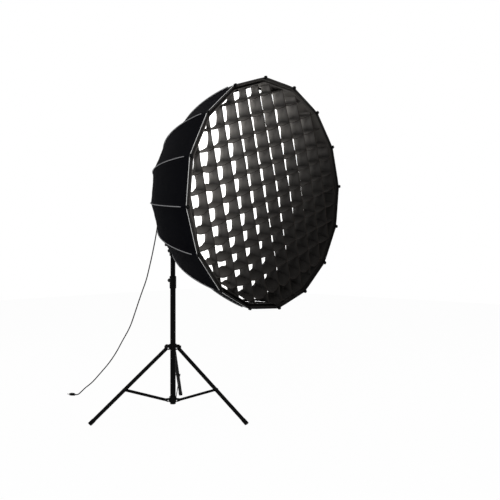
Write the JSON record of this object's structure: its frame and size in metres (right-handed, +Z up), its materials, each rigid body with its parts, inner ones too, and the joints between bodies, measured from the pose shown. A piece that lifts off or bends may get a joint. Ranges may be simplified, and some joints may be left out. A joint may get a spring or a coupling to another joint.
{
  "type": "octabox softbox on stand",
  "caption": "Deep many-sided softbox with a honeycomb grid on a yoke-mounted LED lamp and a three-legged telescopic stand.",
  "frame": {"origin": "on the floor under the column's axis", "axes": "+Z up along the column; the softbox faces -Y; +X is on the right of a viewer who looks along +Y"},
  "size_m": [1.2038, 1.7455, 1.865],
  "materials": {
    "tube_black": "satin",
    "stand_plastic": "matte",
    "rubber_black": "matte",
    "steel": "satin",
    "yoke_black": "matte",
    "lamp_black": "matte",
    "lamp_plastic": "matte",
    "bare_aluminium": "satin",
    "clear_glass": "gloss",
    "led_yellow": "satin",
    "display_dark": "gloss",
    "ring_aluminium": "satin",
    "rib_steel": "satin",
    "shell_cloth": "matte",
    "piping_cloth": "matte",
    "binding_cloth": "matte",
    "diffuser_cloth": "matte",
    "grid_cloth": "matte",
    "cord_rubber": "satin",
    "plug_black": "satin"
  },
  "bodies": {
    "column": {"lower_tube": "tube_black", "column_plug": "stand_plastic", "lower_collar": "stand_plastic", "brace_hinge_pins": "steel", "lower_clamp": "stand_plastic"},
    "leg_collar": {"leg_collar": "stand_plastic", "leg_hinge_pins": "steel"},
    "collar_knob": {"collar_knob": "stand_plastic"},
    "lower_knob": {"lower_knob": "stand_plastic"},
    "middle_section": {"middle_tube": "tube_black", "upper_clamp": "stand_plastic"},
    "upper_knob": {"upper_knob": "stand_plastic"},
    "top_section": {"top_tube": "tube_black", "stand_stud": "steel"},
    "yoke": {"stand_socket": "yoke_black", "yoke": "yoke_black", "yoke_bolt": "steel", "mains_cord": "cord_rubber", "mains_plug": "plug_black"},
    "socket_handle": {"socket_handle": "stand_plastic"},
    "tilt_lever": {"tilt_lever": "lamp_plastic"},
    "lamp": {"lamp_housing": "lamp_black", "front_bezel": "lamp_black", "bayonet_mouth": "ring_aluminium", "heat_sink": "bare_aluminium", "led_array": "led_yellow", "lens_glass": "clear_glass", "fan_frame": "lamp_plastic", "rear_panel": "lamp_plastic", "display_window": "display_dark", "tilt_bolts": "steel", "strain_relief": "rubber_black"},
    "fan_rotor": {"fan_rotor": "lamp_plastic"},
    "control_dial": {"control_dial": "lamp_plastic"},
    "power_switch": {"power_switch": "lamp_plastic"},
    "release_button": {"release_button": "lamp_plastic"},
    "softbox": {"speed_ring": "ring_aluminium", "rib_hinge_blocks": "lamp_plastic", "rib_hinge_pins": "steel", "ribs": "rib_steel", "rib_tip_caps": "stand_plastic", "shell_panels": "shell_cloth", "seam_piping": "piping_cloth", "front_band": "shell_cloth", "rim_binding": "binding_cloth", "inner_diffuser": "diffuser_cloth", "front_diffuser": "diffuser_cloth"},
    "grid": {"grid_columns": "grid_cloth", "grid_rows": "grid_cloth", "grid_border": "grid_cloth"},
    "leg_1": {"leg_1": "tube_black", "rubber_foot_1": "rubber_black"},
    "brace_1": {"brace_1": "tube_black"},
    "leg_2": {"leg_2": "tube_black", "rubber_foot_2": "rubber_black"},
    "brace_2": {"brace_2": "tube_black"},
    "leg_3": {"leg_3": "tube_black", "rubber_foot_3": "rubber_black"},
    "brace_3": {"brace_3": "tube_black"}
  },
  "joints": [
    {"name": "leg_fold", "type": "slide", "parent": "column", "child": "leg_collar", "axis": [0, 0, 1], "range_m": [0, 0.3131]},
    {"name": "leg_hinge_1", "type": "hinge", "parent": "leg_collar", "child": "leg_1", "pos_m": [0.02804, 0.02624, 0.397], "axis": [-0.6833, 0.7302, 0], "range_deg": [-0.3, 50.45]},
    {"name": "brace_hinge_1", "type": "hinge", "parent": "column", "child": "brace_1", "pos_m": [0.02804, 0.02624, 0.0866], "axis": [0.6833, -0.7302, 0], "range_deg": [-0.3, 71.54]},
    {"name": "leg_hinge_2", "type": "hinge", "parent": "leg_collar", "child": "leg_2", "pos_m": [0.0087, -0.0374, 0.397], "axis": [0.974, 0.2267, 0], "range_deg": [-0.3, 50.45]},
    {"name": "brace_hinge_2", "type": "hinge", "parent": "column", "child": "brace_2", "pos_m": [0.0087, -0.0374, 0.0866], "axis": [-0.974, -0.2267, 0], "range_deg": [-0.3, 71.54]},
    {"name": "leg_hinge_3", "type": "hinge", "parent": "leg_collar", "child": "leg_3", "pos_m": [-0.03674, 0.01116, 0.397], "axis": [-0.2907, -0.9568, 0], "range_deg": [-0.3, 50.45]},
    {"name": "brace_hinge_3", "type": "hinge", "parent": "column", "child": "brace_3", "pos_m": [-0.03674, 0.01116, 0.0866], "axis": [0.2907, 0.9568, 0], "range_deg": [-0.3, 71.54]},
    {"name": "collar_knob_turn", "type": "hinge", "parent": "leg_collar", "child": "collar_knob", "pos_m": [0, 0, 0.4015], "axis": [-0.2267, 0.974, 0], "range_deg": [0, 360]},
    {"name": "lower_knob_turn", "type": "hinge", "parent": "column", "child": "lower_knob", "pos_m": [0, 0, 0.796], "axis": [0.309, 0.9511, 0], "range_deg": [0, 360]},
    {"name": "middle_rise", "type": "slide", "parent": "column", "child": "middle_section", "axis": [0, 0, 1], "range_m": [-0.11, 0.45]},
    {"name": "upper_knob_turn", "type": "hinge", "parent": "middle_section", "child": "upper_knob", "pos_m": [0, 0, 0.975], "axis": [0.309, 0.9511, 0], "range_deg": [0, 360]},
    {"name": "top_rise", "type": "slide", "parent": "middle_section", "child": "top_section", "axis": [0, 0, 1], "range_m": [0, 0.6]},
    {"name": "lamp_pan", "type": "hinge", "parent": "top_section", "child": "yoke", "pos_m": [0, 0, 1], "axis": [0, 0, 1], "continuous": true},
    {"name": "socket_handle_turn", "type": "hinge", "parent": "yoke", "child": "socket_handle", "pos_m": [0, 0, 1.01], "axis": [0, 1, 0], "range_deg": [0, 360]},
    {"name": "tilt_lever_swing", "type": "hinge", "parent": "yoke", "child": "tilt_lever", "pos_m": [0.078, 0, 1.3], "axis": [1, 0, 0], "range_deg": [-60, 120]},
    {"name": "lamp_tilt", "type": "hinge", "parent": "yoke", "child": "lamp", "pos_m": [0, 0, 1.3], "axis": [-1, 0, 0], "range_deg": [-25, 60]},
    {"name": "fan_spin", "type": "hinge", "parent": "lamp", "child": "fan_rotor", "pos_m": [0, -0.02497, 1.29885], "axis": [0, -0.9989, -0.0461], "continuous": true},
    {"name": "dial_turn", "type": "hinge", "parent": "lamp", "child": "control_dial", "pos_m": [-0.026, 0.10091, 1.28263], "axis": [0, 0.9989, 0.0461], "continuous": true},
    {"name": "switch_rock", "type": "hinge", "parent": "lamp", "child": "power_switch", "pos_m": [0.03, 0.09751, 1.26946], "axis": [0, 0.0461, -0.9989], "range_deg": [-4, 4]},
    {"name": "button_press", "type": "slide", "parent": "lamp", "child": "release_button", "axis": [0, 0.0461, -0.9989], "range_m": [0, 0.0025], "stiffness_N_per_m": 400, "springref_m": -0.003},
    {"name": "bayonet_turn", "type": "hinge", "parent": "lamp", "child": "softbox", "pos_m": [0, -0.14984, 1.29309], "axis": [0, -0.9989, -0.0461], "range_deg": [0, 24]},
    {"name": "grid_lift_off", "type": "slide", "parent": "softbox", "child": "grid", "axis": [0, -0.9989, -0.0461], "range_m": [0, 0.15]}
  ],
  "couplings": [
    {"joint": "leg_hinge_1", "follows": "leg_fold", "rad_per_m": 2.7957},
    {"joint": "brace_hinge_1", "follows": "leg_fold", "rad_per_m": 3.971},
    {"joint": "leg_hinge_2", "follows": "leg_fold", "rad_per_m": 2.7957},
    {"joint": "brace_hinge_2", "follows": "leg_fold", "rad_per_m": 3.971},
    {"joint": "leg_hinge_3", "follows": "leg_fold", "rad_per_m": 2.7957},
    {"joint": "brace_hinge_3", "follows": "leg_fold", "rad_per_m": 3.971}
  ]
}
